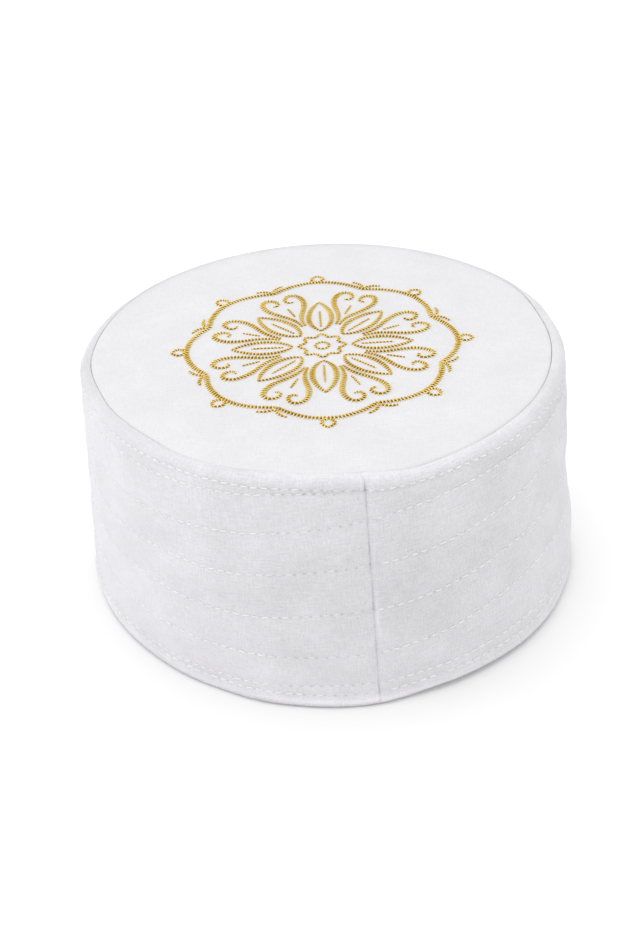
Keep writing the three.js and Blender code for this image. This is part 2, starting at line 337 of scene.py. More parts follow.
class Nodes:
    """A material and short ways of wiring its nodes."""

    def __init__(self, name):
        self.material = bpy.data.materials.new(name)
        self.material.use_nodes = True
        self.tree = self.material.node_tree
        self.shader = self.tree.nodes["Principled BSDF"]

    def node(self, kind, values=None, **settings):
        made = self.tree.nodes.new(kind)
        for key, value in settings.items():
            setattr(made, key, value)
        for socket, value in (values or {}).items():
            if isinstance(value, bpy.types.NodeSocket):
                self.tree.links.new(value, made.inputs[socket])
            else:
                made.inputs[socket].default_value = value
        return made

    def maths(self, operation, a, b=0.0, c=0.0):
        return self.node("ShaderNodeMath", {0: a, 1: b, 2: c}, operation=operation).outputs[0]

    def number(self, name):
        return self.node("ShaderNodeAttribute", attribute_name=name).outputs["Fac"]

    def flat_map(self, name, across, along):
        coordinates = self.node("ShaderNodeUVMap", uv_map=name).outputs["UV"]
        scaled = self.node("ShaderNodeMapping", {"Vector": coordinates, "Scale": (across, along, 1)})
        return scaled.outputs["Vector"]

    def noise(self, vector, scale, detail):
        made = self.node("ShaderNodeTexNoise", {"Vector": vector, "Scale": scale, "Detail": detail})
        return made.outputs["Fac"]

    def bands(self, vector, direction, scale):
        made = self.node(
            "ShaderNodeTexWave", {"Vector": vector, "Scale": scale}, bands_direction=direction
        )
        return made.outputs["Fac"]

    def tones(self, factor, stops):
        ramp = self.node("ShaderNodeValToRGB", {"Fac": factor})
        band = ramp.color_ramp
        while len(band.elements) < len(stops):
            band.elements.new(0.5)
        for element, (position, colour) in zip(band.elements, stops):
            element.position = position
            element.color = (*colour, 1)
        return ramp.outputs["Color"]

    def colour(self, factor, stops):
        self.tree.links.new(self.tones(factor, stops), self.shader.inputs["Base Color"])

    def bump(self, height, distance):
        bump = self.node("ShaderNodeBump", {"Height": height, "Distance": distance, "Strength": 1.0})
        self.tree.links.new(bump.outputs["Normal"], self.shader.inputs["Normal"])

    def surface(self, **settings):
        for socket, value in settings.items():
            self.shader.inputs[socket.replace("_", " ")].default_value = value


def cotton(name, tint, stitched, depth, contrast):
    """White plain-weave cotton: fine threads both ways, some thicker than others, with a little
    lint. Its colour also takes painted light and shade from a number on each point. Where it is
    stitched, small dark pits along the rows are painted shade in the needle's holes, deeper where
    the cloth is gathered. On the flanks the weave's contrast and the pits are painted fainter,
    standing in for the light there flattening them. The depth is that of the weave in metres, and
    the contrast sets how far the lightest and darkest threads lie from the tint."""
    nodes = Nodes(name)
    plain = nodes.flat_map("cloth", 1, 1)
    upright = nodes.bands(plain, "X", THREAD_COUNT)
    level = nodes.bands(plain, "Y", THREAD_COUNT)
    weave = nodes.maths("MULTIPLY", upright, level)
    thick_upright = nodes.noise(nodes.flat_map("cloth", 165, 24), 1.0, 3.0)
    thick_level = nodes.noise(nodes.flat_map("cloth", 20, 150), 1.0, 3.0)
    lint = nodes.noise(plain, 150.0, 3.0)
    patches = nodes.noise(plain, 5.0, 3.0)
    threads = nodes.maths("ADD", thick_upright, thick_level)
    mottle = nodes.maths("ADD", threads, nodes.maths("MULTIPLY", lint, 1.2))
    # On the flanks the weave's contrast is painted lower, standing in for the light flattening it there.
    lively = nodes.maths("MULTIPLY_ADD", nodes.number("flank"), -0.13, 0.24)
    mottled = nodes.maths("MULTIPLY_ADD", nodes.maths("SUBTRACT", mottle, 1.6), lively, 0.384)
    shade = nodes.maths("MULTIPLY_ADD", patches, 0.25, mottled)
    # Painted light and shade, given on each point, lighten or darken the colour.
    shade = nodes.maths("ADD", shade, nodes.number("painted_light"))
    height = nodes.maths("MULTIPLY_ADD", weave, 0.16, mottle)
    if stitched:
        # Painted shade in the needle's holes: small dark pits along the rows, deeper where the cloth is
        # gathered and fainter on the flanks.
        share = nodes.maths("DIVIDE", nodes.number("run"), STITCH_PITCH)
        beside = nodes.maths("MULTIPLY", nodes.maths("PINGPONG", share, 0.5), STITCH_PITCH)
        off = nodes.maths("MULTIPLY", nodes.number("row_gap"), 1.2)
        squares = nodes.maths("MULTIPLY_ADD", off, off, nodes.maths("MULTIPLY", beside, beside))
        pit_shade = nodes.node(
            "ShaderNodeMapRange", {0: nodes.maths("SQRT", squares), 1: 0.12, 2: 0.62, 3: 1.0, 4: 0.0}
        ).outputs[0]
        open_holes = nodes.node(
            "ShaderNodeMapRange", {0: nodes.noise(plain, 30.0, 1.0), 1: 0.40, 2: 0.66, 3: 0.15, 4: 0.8}
        ).outputs[0]
        gathered = nodes.maths("MULTIPLY", nodes.number("gathered"), 0.9)
        open_holes = nodes.maths("MAXIMUM", open_holes, gathered)
        fainter_on_flanks = nodes.maths("MULTIPLY_ADD", nodes.number("flank"), -0.6, 1.0)
        pit_shade = nodes.maths("MULTIPLY", nodes.maths("MULTIPLY", pit_shade, open_holes), fainter_on_flanks)
        shade = nodes.maths("MULTIPLY_ADD", pit_shade, -0.24, shade)
        height = nodes.maths("MULTIPLY_ADD", pit_shade, -0.5, height)
    dark = tuple(value * (1 - 0.32 * contrast) for value in tint)
    light = tuple(value * (1 + 0.30 * contrast) for value in tint)
    nodes.colour(shade, [(0.18, dark), (0.51, tint), (0.80, light)])
    nodes.surface(Roughness=0.92, Specular_IOR_Level=0.25, Sheen_Weight=0.10, Sheen_Roughness=0.5)
    nodes.bump(height, depth)
    return nodes.material


# Distances from the join at which the band is divided, close together beside the slit
beside_join = np.array([0, 0.14, 0.3, 0.5, 0.75, 1.05, 1.4, 1.8, 2.3, 2.9, 3.6])
whole_round = 2 * math.pi * ARC_RADIUS
open_round = np.arange(4.6, whole_round - 4.0, 1.25)
arcs = np.concatenate([beside_join, open_round, (whole_round - beside_join[1:])[::-1]])
turns = np.degrees(arcs / ARC_RADIUS)

# Heights of the rings of points: on every row of stitches, and closer together beside the rows
closing_in = (np.arange(9) / 8) ** 1.7 / 2
wide_steps = np.concatenate([closing_in, 1 - closing_in[-2::-1]])[:-1]
narrow_steps = np.linspace(0, 1, 7)[:-1]
ring_angles = []
ring_heights = []
for number, upper in enumerate(ALL_ROWS):
    for step in wide_steps if 2 <= number <= 6 else narrow_steps:
        lower_middle = np.mean(ALL_ROWS[number - 1]) if number else HEM_EDGE
        angle = join_angle(lower_middle + (np.mean(upper) - lower_middle) * step) + turns
        low = row_height(ALL_ROWS[number - 1], angle) if number else HEM_EDGE
        ring_angles.append(angle)
        ring_heights.append(low + (row_height(upper, angle) - low) * step)
side_angles = np.array(ring_angles)
side_heights = np.array(ring_heights)
stands_out, row_gap, row_run = relief(side_angles, side_heights)
side_radii = side_radius(side_angles, side_heights) + stands_out

# The rolled rim: out from the rim's row of stitches, over the top and down into the seam. Its
# start, top and foot each hold a radius and a height.
rim_angle = join_angle(CAP_HEIGHT) + turns
rim_start = row_height(RIM_ROW, rim_angle)
rim_out, _, rim_run = relief(rim_angle, rim_start)
seam = seam_radius(rim_angle)
fullness = 0.16 * ripples(11, rim_angle, 0.0, 8, 26, 50) + 0.08 * ripples(12, rim_angle, 0.0, 30, 75, 50)
rim_here = side_radius(rim_angle, CAP_HEIGHT - ROLL_RADIUS)
width = rim_here - seam
crown = seam + ROLL_CROWN * width
lower_behind = 0.8 * np.clip(1 - width / 3.4, 0, 1)
crown_height = CAP_HEIGHT + 0.3 * fullness - rim_sag(rim_angle) - lower_behind
roll_start = np.stack([side_radius(rim_angle, rim_start) + rim_out, rim_start])
roll_top = np.stack([crown, crown_height])
opening = seam_opens(rim_angle)
roll_foot = np.stack([seam + 0.05, crown_height - 0.1 - SEAM_DEPTH * opening])
rises = np.stack([0.42 + fullness, (crown_height - rim_start) * 0.40])
levels_off = np.stack([(roll_start[0] - crown) * 0.56, np.zeros_like(crown)])


def cubic(a, b, c, d, steps):
    """Points along a cubic curve between a and d."""
    t = np.asarray(steps).reshape((-1,) + (1,) * np.ndim(a))
    return (1 - t) ** 3 * a + 3 * (1 - t) ** 2 * t * b + 3 * (1 - t) * t * t * c + t**3 * d


outer_steps = np.linspace(0, 1, 15)[:-1]
outer_roll = cubic(roll_start, roll_start + rises, roll_top + levels_off, roll_top, outer_steps)
inward = np.stack([0.33 * width, 0 * seam])
down = np.stack([0 * seam, 0.8 * opening])
inner_steps = np.linspace(0, 1, 10)
inner_roll = cubic(roll_top, roll_top - inward, roll_foot + down, roll_foot, inner_steps)
roll = np.concatenate([outer_roll, inner_roll])
roll_share = np.linspace(0, 1, len(roll))[:, None]
roll_gap = np.hypot(roll[:, 0] - roll_start[0], roll[:, 1] - roll_start[1])
wander = 2.2 * ripples(17, rim_angle, 0.0, 5, 30, 9)
across_roll = np.cos(2 * math.pi * (rim_angle * 1.6) / 5.5 + wander)
wrinkle = 0.09 * across_roll * bell(roll_share - 0.1, 0.28) * (1 + 0.9 * gathers(rim_angle))
roll_crease = crease(rim_angle, CAP_HEIGHT) * np.clip(0.75 - roll_share * 0.5, 0.25, 1)
roll_radii = roll[:, 0] + wrinkle + roll_crease * np.clip(1 - roll_share * 1.3, 0, 1)
roll_heights = roll[:, 1] + roll_crease * np.clip(roll_share * 1.6, 0, 1) * 0.8

# Inside, and round the folded lower edge: height, distance in from the side, and how far up
# the underside is curved, as a share of its rise
inside_angles = []
inside_radii = []
inside_heights = []
lip = BAND_WALL + HEM_FOLD
for z, inward, raised in (
    [(CAP_HEIGHT - 3.2, None, 0.0)]
    + [(z, BAND_WALL, 0.0) for z in np.linspace(CAP_HEIGHT - 5.5, HEM_DEPTH + 1.2, 22)]
    + [(HEM_DEPTH + 0.5, BAND_WALL + 0.25, 0.0), (HEM_DEPTH, lip - 0.2, 0.0)]
    + [(z, lip, 0.0) for z in np.linspace(HEM_DEPTH - 0.6, 1.4, 6)]
    + [(0.45, lip, 0.0), (0.1, lip - 0.08, 0.0), (0.0, lip - 0.2, 0.0), (0.0, lip - 0.45, 0.0)]
    + [(0.0, 2.9, 0.5), (0.0, 2.4, 0.75), (0.0, 1.6, 0.88), (0.0, 0.8, 0.96), (0.0, 0.27, 1.1)]
    + [(0.0, 0.02, 1.3)]
):
    angle = join_angle(z) + turns
    height = z + UNDERSIDE_RISE * raised + lifted(angle) * (z < UNDERSIDE_BELOW)
    if inward is None:
        radius = seam_radius(angle) + 0.35
    else:
        radius = side_radius(angle, height) - inward
    inside_angles.append(angle)
    inside_radii.append(radius)
    inside_heights.append(height)

band_points = np.concatenate([
    place(side_radii, side_angles, side_heights),
    place(roll_radii, rim_angle, roll_heights),
    place(np.array(inside_radii), np.array(inside_angles), np.array(inside_heights)),
])
rings, columns = band_points.shape[:2]


def ring_faces(rings, columns, closed):
    """Four-cornered faces between rings of points that each close on themselves."""
    ring = np.arange(rings if closed else rings - 1)[:, None]
    column = np.arange(columns)[None, :]
    here = ring * columns
    following = ((ring + 1) % rings) * columns
    beside = (column + 1) % columns
    corners = np.stack([here + column, here + beside, following + beside, following + column], -1)
    return corners.reshape(-1, 4)


band_faces = ring_faces(rings, columns, True)
white_cotton = cotton("quilted_cotton", BAND_TINT, True, 0.00022, 0.95)
band = make_piece("quilted_band", band_points.reshape(-1, 3), band_faces, white_cotton)
lengths = np.linalg.norm(np.diff(band_points, axis=0), axis=2).mean(1) / MM
up_the_cloth = np.append(0, np.cumsum(lengths))
ring_number = np.arange(rings)[:, None] + np.zeros((1, columns), int)
column_number = np.arange(columns)[None, :] + np.zeros((rings, 1), int)
round_the_cloth = np.append(arcs, whole_round)
up_steps = np.append(up_the_cloth, up_the_cloth[-1] + 1.0)
flat = np.stack([
    np.stack([round_the_cloth[column_number], up_steps[ring_number]], -1),
    np.stack([round_the_cloth[column_number + 1], up_steps[ring_number]], -1),
    np.stack([round_the_cloth[column_number + 1], up_steps[ring_number + 1]], -1),
    np.stack([round_the_cloth[column_number], up_steps[ring_number + 1]], -1),
], axis=2)
add_flat_map(band, "cloth", flat.reshape(-1, 2))
FAR_FROM_ROWS = 9.0
between_rows = (row_height(LAST_TURN, side_angles) + row_height(RIM_ROW, side_angles)) / 2
beside_rim = side_heights > between_rows
pulled_in = np.where(beside_rim, rim_gathers(side_angles), gathers(side_angles))
inside = np.zeros((rings - len(side_radii) - len(roll_radii), columns))
for name, on_side, on_roll, within in (
    ("row_gap", row_gap, roll_gap, FAR_FROM_ROWS),
    ("run", row_run, rim_run, 0.0),
    ("gathered", pulled_in, rim_gathers(rim_angle), 0.0),
    ("flank", on_flank(side_angles), on_flank(rim_angle), on_flank(rim_angle)),
):
    add_number(band, name, np.concatenate([on_side, on_roll + 0 * roll_gap, inside + within]))
# Painted light on the rolled rim: painted shade over its upper and inner side away from the front,
# deeper at the back, and a painted highlight along its upper side at the front and just right of the
# join.
on_front = around(rim_angle, -84, 34)
past_join = around(rim_angle, -66, 16)
on_rear = around(rim_angle, 98, 60, 6)
painted_light_on_roll = -np.clip(roll_share / 0.35, 0, 1) * (0.07 * (1 - on_front) + 0.08 * on_rear)
roll_bell = bell(roll_share - 0.38, 0.2)
painted_light_on_roll = painted_light_on_roll + roll_bell * (0.04 * on_front + 0.05 * past_join)
painted_light = [painted_light_on_band(side_angles, side_heights), painted_light_on_roll, inside]
add_number(band, "painted_light", np.concatenate(painted_light))
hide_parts("side_band")

# White stitching. Cotton thread that holds the quilting, the rolled rim and the hem: each stitch
# lies on the cloth for about two thirds of its length and goes through it at both ends.
STITCH_SHOWS = 2.35
STITCH_THICK = 0.27
STITCH_STEPS = 9
STITCH_SIDES = 6
LAST_TURN_FROM = 0.41
LAST_TURN_ENDS = 9.0


def tubes(centres, radii, upward, sides):
    """Many short threads at once: an array of centre lines becomes round tubes, whose open ends
    go down into the cloth. Gives their points and faces."""
    along = np.gradient(centres, axis=1)
    along /= np.linalg.norm(along, axis=2, keepdims=True)
    aside = np.cross(along, upward)
    aside /= np.linalg.norm(aside, axis=2, keepdims=True)
    outward = np.cross(aside, along)
    turn = np.arange(sides) * 2 * math.pi / sides
    spread = (
        aside[:, :, None] * np.cos(turn)[:, None] + outward[:, :, None] * np.sin(turn)[:, None]
    )
    radii = np.broadcast_to(radii, centres.shape[:2])
    points = centres[:, :, None] + spread * radii[..., None, None]
    threads, steps = centres.shape[:2]
    thread = np.arange(threads)[:, None, None] * steps * sides
    step = np.arange(steps - 1)[None, :, None] * sides
    side = np.arange(sides)[None, None, :]
    beside = (side + 1) % sides
    here = thread + step
    corners = [here + side, here + beside, here + sides + beside, here + sides + side]
    faces = np.stack(np.broadcast_arrays(*corners), -1).reshape(-1, 4)
    return points.reshape(-1, 3), faces


def thread_piece(name, bundles, material, sides):
    """One piece from bundles of threads. Each bundle has its centre lines in metres, a radius
    in millimetres at each step, its upward direction, and a tone for each thread or each
    step of it."""
    points = []
    faces = []
    tones = []
    runs = []
    total = 0
    for centres, radii, upward, tone in bundles:
        made, made_faces = tubes(centres, np.asarray(radii) * MM, upward, sides)
        points.append(made)
        faces.append(made_faces + total)
        steps = centres.shape[1]
        along = tone if tone.ndim > 1 else np.repeat(tone[:, None], steps, 1)
        tones.append(np.repeat(along.ravel(), sides))
        length = np.linalg.norm(np.diff(centres, axis=1), axis=2).cumsum(1) / MM
        length = np.concatenate([np.zeros((len(centres), 1)), length], axis=1)
        runs.append(np.repeat(length.ravel(), sides))
        total += len(made)
    piece = make_piece(name, np.concatenate(points), np.concatenate(faces), material)
    add_number(piece, "tone", np.concatenate(tones))
    add_number(piece, "run", np.concatenate(runs))
    return piece


def stitch_row(row, seed, first, last, offset):
    """One row of stitches round the band between two distances from the join."""
    draws = np.random.default_rng(seed)
    middles = np.arange(STITCH_PITCH / 2, whole_round, STITCH_PITCH) - offset
    middles = middles[(middles > max(first, 1.8)) & (middles < min(last, whole_round - 1.6))]
    half = STITCH_SHOWS / 2 * draws.uniform(0.88, 1.1, len(middles))
    u = np.linspace(-1, 1, STITCH_STEPS)
    tilt = draws.normal(0, 0.07, len(middles))[:, None] * u
    run = middles[:, None] + half[:, None] * u
    angle = JOIN_AT_RIM + np.degrees(run / ARC_RADIUS)
    z = row_height(row, angle)
    angle = join_angle(z) + np.degrees(run / ARC_RADIUS)
    z = row_height(row, angle) + tilt
    surface = side_radius(angle, z) + relief(angle, z)[0]
    from_join = np.minimum(middles, whole_round - middles)
    sunk = 0.01 + 0.05 * ripples(seed, middles, 0.0, 9, 60, 9)
    middle_angle = angle[:, STITCH_STEPS // 2]
    buried = gathers(middle_angle) * (row not in (LAST_TURN, RIM_ROW))
    sunk = sunk + 0.12 * bell(from_join, 20) + 0.14 * gathers(middle_angle)
    sunk = sunk + 0.07 * buried + 0.15 * on_flank(middle_angle)
    lift = 0.19 - sunk[:, None] - 0.62 * np.abs(u) ** 6
    centres = place(surface + lift, angle, z)
    upward = place(1.0, angle, 0.0) - place(0.0, angle, 0.0)
    radii = STITCH_THICK * (1 - 0.35 * u * u) * draws.uniform(0.92, 1.08, len(middles))[:, None]
    # Each stitch's tone varies at random. It is painted darker on the flanks, standing in for the light
    # there washing the stitches out against the cloth, and darker still where it lies buried in the
    # puckers by the join, as painted shade.
    tone = draws.uniform(0.3, 1, len(middles))
    tone = tone - 0.55 * on_flank(middle_angle) - 0.35 * buried
    return centres, radii, upward, np.clip(tone, 0, 1)


cotton_thread = Nodes("white_sewing_thread")
ply = cotton_thread.maths("SINE", cotton_thread.maths("MULTIPLY", cotton_thread.number("run"), 14.0))
cotton_thread.bump(ply, 0.00003)
# The stitches' tone, painted shade included, picks a white from greyish to bright.
cotton_thread.colour(cotton_thread.number("tone"), [
    (0.0, (0.77, 0.765, 0.785)),
    (0.3, (0.85, 0.85, 0.87)),
    (1.0, (0.92, 0.92, 0.93)),
])
cotton_thread.surface(Roughness=0.55, Sheen_Weight=0.2)

white_rows = []
for number, row in enumerate(ALL_ROWS):
    offset = row_shift(number) % STITCH_PITCH
    first = whole_round * LAST_TURN_FROM if row is LAST_TURN else 0.0
    last = whole_round - LAST_TURN_ENDS if row is LAST_TURN else whole_round
    white_rows.append(stitch_row(row, 60 + number, first, last, offset))
stitching = thread_piece("white_stitching", white_rows, cotton_thread.material, STITCH_SIDES)

# Top panel. A round of the same white cotton, flat and a little soft, sewn into the rolled rim
# with its edge turned down inside. The seam pulls small puckers into the cloth beside it.
PANEL_WALL = 1.8
ALLOWANCE_DEPTH = 7.0
ALLOWANCE_WALL = 1.2
ALLOWANCE_GAP = 0.3
# Same cotton as the band. This tint is set darker and less blue than the band's, painted to offset the
# brighter light on the top.
PANEL_TINT = (0.684, 0.682, 0.698)
PANEL_SINKS = 0.15
SEAM_FURTHEST = 1.025

# Soft swells and hollows of the top: place across, place towards the back, reach, rise
SWELLS = (
    (-34, -38, 30, 0.55),
    (40, -30, 28, 0.30),
    (10, 46, 34, 0.35),
    (-50, 20, 24, 0.30),
    (4, -64, 18, -0.35),
    (56, 16, 20, -0.25),
    (0, 0, 40, -0.20),
)


def panel_surface(x, y):
    """Height of the cloth's swells, at places measured from the cap's middle."""
    height = 0.0
    for at_x, at_y, reach, rise in SWELLS:
        height = height + rise * np.exp(-((x - at_x) ** 2 + (y - at_y) ** 2) / reach**2)
    return height


panel_angles = turns[::2] + JOIN_AT_RIM
panel_columns = len(panel_angles)
seam_edge = seam_radius(panel_angles) - 0.06
beside_seam = np.array([0.0, 0.12, 0.35, 0.7, 1.15, 1.7, 2.4, 3.2, 4.2])
from_seam = np.concatenate([beside_seam, np.arange(5.4, 80.0, 1.7)])
panel_rings = []
for inward in from_seam[::-1]:
    radius = seam_edge * (1 - inward / SEAM_RADIUS)
    x = radius * np.cos(np.radians(panel_angles))
    y = radius * np.sin(np.radians(panel_angles))
    rounding = 0.9 * seam_opens(panel_angles) * np.exp(-inward / 0.5)
    rounding = rounding + rim_sag(panel_angles) * bell(inward, 9)
    pucker = 0.10 * ripples(21, panel_angles, inward, 40, 90, 60, 10) * np.exp(-inward / 4.0)
    pucker = pucker + 0.12 * ripples(22, panel_angles, inward, 10, 34, 80, 10) * np.exp(-inward / 10)
    settled = 1 - np.exp(-inward / 9.0)
    height = CAP_HEIGHT - PANEL_SINKS - rounding + pucker * (1 - np.exp(-inward / 0.8))
    panel_rings.append((radius, height + panel_surface(x, y) * settled))

# Down inside the band with the turned-down edge, and back under the cloth to the middle
under = CAP_HEIGHT - PANEL_WALL - 0.6
inner_wall = side_radius(panel_angles, CAP_HEIGHT - ROLL_RADIUS) - BAND_WALL - ALLOWANCE_GAP
foot_height = CAP_HEIGHT - ROLL_RADIUS - ALLOWANCE_DEPTH
foot_wall = side_radius(panel_angles, foot_height) - BAND_WALL - ALLOWANCE_GAP
for radius, height in (
    (seam_edge - 0.1, CAP_HEIGHT - 3.0),
    (inner_wall, CAP_HEIGHT - ROLL_RADIUS - 0.4),
    (foot_wall, foot_height),
    (foot_wall - ALLOWANCE_WALL, foot_height),
    (inner_wall - ALLOWANCE_WALL, CAP_HEIGHT - ROLL_RADIUS - 0.4),
    (seam_edge - 1.4, under + 0.3),
):
    panel_rings.append((radius, np.full(panel_columns, height)))
for share in (0.95, 0.8, 0.6, 0.4, 0.2, 0.06):
    radius = seam_edge * share
    x = radius * np.cos(np.radians(panel_angles))
    y = radius * np.sin(np.radians(panel_angles))
    panel_rings.append((radius, under + panel_surface(x, y)))
panel_grid = np.array([place(radius, panel_angles, z) for radius, z in panel_rings])
ring_count = len(panel_grid)
panel_faces = ring_faces(ring_count, panel_columns, False)
middle_top = panel_grid[0].mean(0)
middle_under = panel_grid[-1].mean(0)


def fan(middle, ring, outward):
    """Four-cornered faces that close a ring about its middle. Each takes the middle and three
    neighbours of the ring, so the ring needs an even number of points."""
    first = ring[0::2]
    second = ring[1::2]
    third = np.roll(first, -1)
    quads = np.stack([np.full_like(first, middle), first, second, third], -1)
    return quads if outward else quads[:, ::-1]


if panel_columns % 2:
    raise ValueError("the panel needs an even number of columns")
top_ring = np.arange(panel_columns)
under_ring = top_ring + (ring_count - 1) * panel_columns
centre_index = ring_count * panel_columns
panel_points = np.concatenate([panel_grid.reshape(-1, 3), [middle_top, middle_under]])
panel_faces = np.concatenate([
    panel_faces[:, ::-1],
    fan(centre_index, top_ring, True),
    fan(centre_index + 1, under_ring, False),
])
panel_cotton = cotton("panel_cotton", PANEL_TINT, False, 0.00008, 0.5)
panel = make_piece("top_panel_cloth", panel_points, panel_faces, panel_cotton)
add_flat_map(panel, "cloth", panel_points[panel_faces.ravel()][:, :2] / MM)
panel_x = panel_points[:, 0] / MM - CAP_MIDDLE[0]
panel_y = panel_points[:, 1] / MM - CAP_MIDDLE[1]
panel_turn = np.degrees(np.arctan2(panel_y, panel_x))
# Painted shade on the top: a soft darker patch at the front left, a dark line beside the seam at the
# back and back right, and a slight darkening towards the back and the right.
behind = around(panel_turn, 98, 60, 6)
right_behind = around(panel_turn, 45, 18)
from_edge = np.clip(SEAM_RADIUS * SEAM_FURTHEST - np.hypot(panel_x, panel_y), 0, None)
shaded = 0.035 * bell(panel_x + 40, 18) * bell(panel_y + 36, 16)
shaded = shaded + (0.19 * behind + 0.14 * right_behind) * bell(from_edge, 2.2)
add_number(panel, "painted_light", -shaded - 0.00025 * (panel_y + 30) - 0.0001 * panel_x)
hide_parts("top_panel")

# Gold embroidery. An eight-fold flower of leaves and tulips in a lobed garland, worked by
# machine in an open zig-zag of glossy thread over a line of plain stitches.
GOLD_WIDTH = 2.0
GOLD_THICK = 0.19
GOLD_ADVANCE = 0.64
GOLD_RISE = 0.5
GOLD_SIDES = 5
LEG_RISES = (0.8, 1.12)
# Tones of the two legs of each zig-zag: one in painted shade, the other painted as catching the light.
LEG_LIGHT_AND_SHADE = (0.22, 0.78)
UNDERLAY_STITCH = 0.9
GARLAND_SHARE = 0.90
MOTIF_RADIUS = ((garland_high.x - garland_low.x) / 2 / MM - GOLD_WIDTH / 2) / GARLAND_SHARE
PETALS = 8


def turned(path, degrees):
    """A path turned round the middle of the flower."""
    a = math.radians(degrees)
    return path @ np.array([[math.cos(a), math.sin(a)], [-math.sin(a), math.cos(a)]])


def mirrored(path):
    """A path's other half, across the line from the middle outwards."""
    return path * np.array([1, -1])


def curve(*corners):
    """One smooth bend of a motif, in shares of the whole flower's radius."""
    return cubic(*(np.array(corner, float) for corner in corners), np.linspace(0, 1, 24))


def ring_path(radius_at, steps=400):
    """A closed line round the middle, from its radius at each turn."""
    turn = np.linspace(0, 2 * math.pi, steps)
    radius = radius_at(turn)
    return np.stack([radius * np.cos(turn), radius * np.sin(turn)], -1)


def even_steps(path, step):
    """The path in millimetres at even distances, and the share of its length at each."""
    path = path * MOTIF_RADIUS
    length = np.append(0, np.linalg.norm(np.diff(path, axis=0), axis=1).cumsum())
    count = max(2, int(round(length[-1] / step)))
    at = np.linspace(0, length[-1], count + 1)
    x = np.interp(at, length, path[:, 0])
    y = np.interp(at, length, path[:, 1])
    return np.stack([x, y], -1), at / length[-1]


def on_panel(flat_places, lift):
    """Places on the top panel's cloth, in metres, raised by a lift in millimetres."""
    x = flat_places[..., 0]
    y = flat_places[..., 1]
    inward = SEAM_RADIUS - np.hypot(x, y)
    z = CAP_HEIGHT - PANEL_SINKS + panel_surface(x, y) * (1 - np.exp(-inward / 9.0)) + lift
    return np.stack([x + CAP_MIDDLE[0], y + CAP_MIDDLE[1], z], -1) * MM


def zigzag(path, width_at, seed):
    """A line of zig-zag stitches: each thread arches from one edge of the line to the other."""
    draws = np.random.default_rng(seed)
    places, share = even_steps(path, GOLD_ADVANCE)
    along = np.gradient(places, axis=0)
    along /= np.linalg.norm(along, axis=1, keepdims=True) + 1e-9
    aside = np.stack([-along[:, 1], along[:, 0]], -1)
    side = np.where(np.arange(len(places)) % 2, 1.0, -1.0) * draws.uniform(0.9, 1.08, len(places))
    edges = places + aside * (side * width_at(share) * GOLD_WIDTH / 2)[:, None]
    u = np.linspace(0, 1, 7)
    legs = edges[:-1, None] * (1 - u)[:, None] + edges[1:, None] * u[:, None]
    width = np.linalg.norm(edges[1:] - edges[:-1], axis=1)
    arch = 1 - np.abs(2 * u - 1) ** 3
    back_stroke = np.arange(len(width)) % 2
    rise = GOLD_RISE * np.clip(width / GOLD_WIDTH, 0.45, 1) * np.array(LEG_RISES)[back_stroke]
    lift = rise[:, None] * arch - 0.01
    centres = on_panel(legs, lift)
    upward = np.broadcast_to(np.array([0.0, 0.0, 1.0]), centres.shape)
    radii = GOLD_THICK * np.array([0.82, 1.0, 1.0, 1.0, 1.0, 1.0, 0.82])
    # The tone is painted light: alternate legs in painted shade and painted highlight, a slow drift of
    # painted sheen along the line, a painted highlight at the line's edges, and a little random tone.
    drift = np.cos(np.arange(len(width)) * 0.13 + draws.uniform(0, 6)) * 0.10
    tone = np.array(LEG_LIGHT_AND_SHADE)[back_stroke] + drift + draws.normal(0, 0.05, len(width))
    tone = tone[:, None] + 0.5 * np.abs(2 * u - 1) ** 1.6
    return centres, np.broadcast_to(radii, centres.shape[:2]), upward, np.clip(tone, 0, 1)


def underlay(path):
    """The line of plain stitches under a zig-zag."""
    places, _ = even_steps(path, UNDERLAY_STITCH)
    pairs = np.stack([places[:-1], (places[:-1] + places[1:]) / 2, places[1:]], 1)
    lift = np.broadcast_to(np.array([0.04, 0.16, 0.04]), pairs.shape[:2])
    centres = on_panel(pairs, lift)
    upward = np.broadcast_to(np.array([0.0, 0.0, 1.0]), centres.shape)
    radii = np.full(centres.shape[:2], GOLD_THICK * 1.3)
    # The plain stitches are real, but their darkest tone is painted shade where they lie between and
    # under the zig-zag's legs.
    return centres, radii, upward, np.full(len(pairs), 0.04)


def worked(path, seed, wide, narrow=None):
    """The threads of one line: zig-zag stitches over their plain line. The line is as wide all
    along, or tapers to a narrow width at both ends."""
    def width_at(share):
        if narrow is None:
            return np.full(len(share), wide)
        return narrow + (wide - narrow) * np.clip(np.sin(math.pi * share), 0, 1) ** 0.8

    return [zigzag(path, width_at, seed), underlay(path)]


gold = Nodes("gold_embroidery_thread")
ply = gold.maths("SINE", gold.maths("MULTIPLY", gold.number("run"), 17.0))
glint = gold.maths("MULTIPLY_ADD", ply, 0.16, gold.number("tone"))
# The colour runs from painted shade, a dark brown, to a pale painted highlight, set by each leg's tone
# and by the twist of its plies, painted as light and dark stripes along it.
gold.colour(glint, [
    (0.0, (0.15, 0.06, 0.002)),
    (0.28, (0.55, 0.29, 0.006)),
    (0.6, (0.95, 0.57, 0.02)),
    (0.85, (1.0, 0.76, 0.13)),
    (1.0, (1.0, 0.93, 0.56)),
])
gold.surface(Metallic=0.45, Roughness=0.3, Specular_IOR_Level=0.6)
gold.bump(ply, 0.00004)

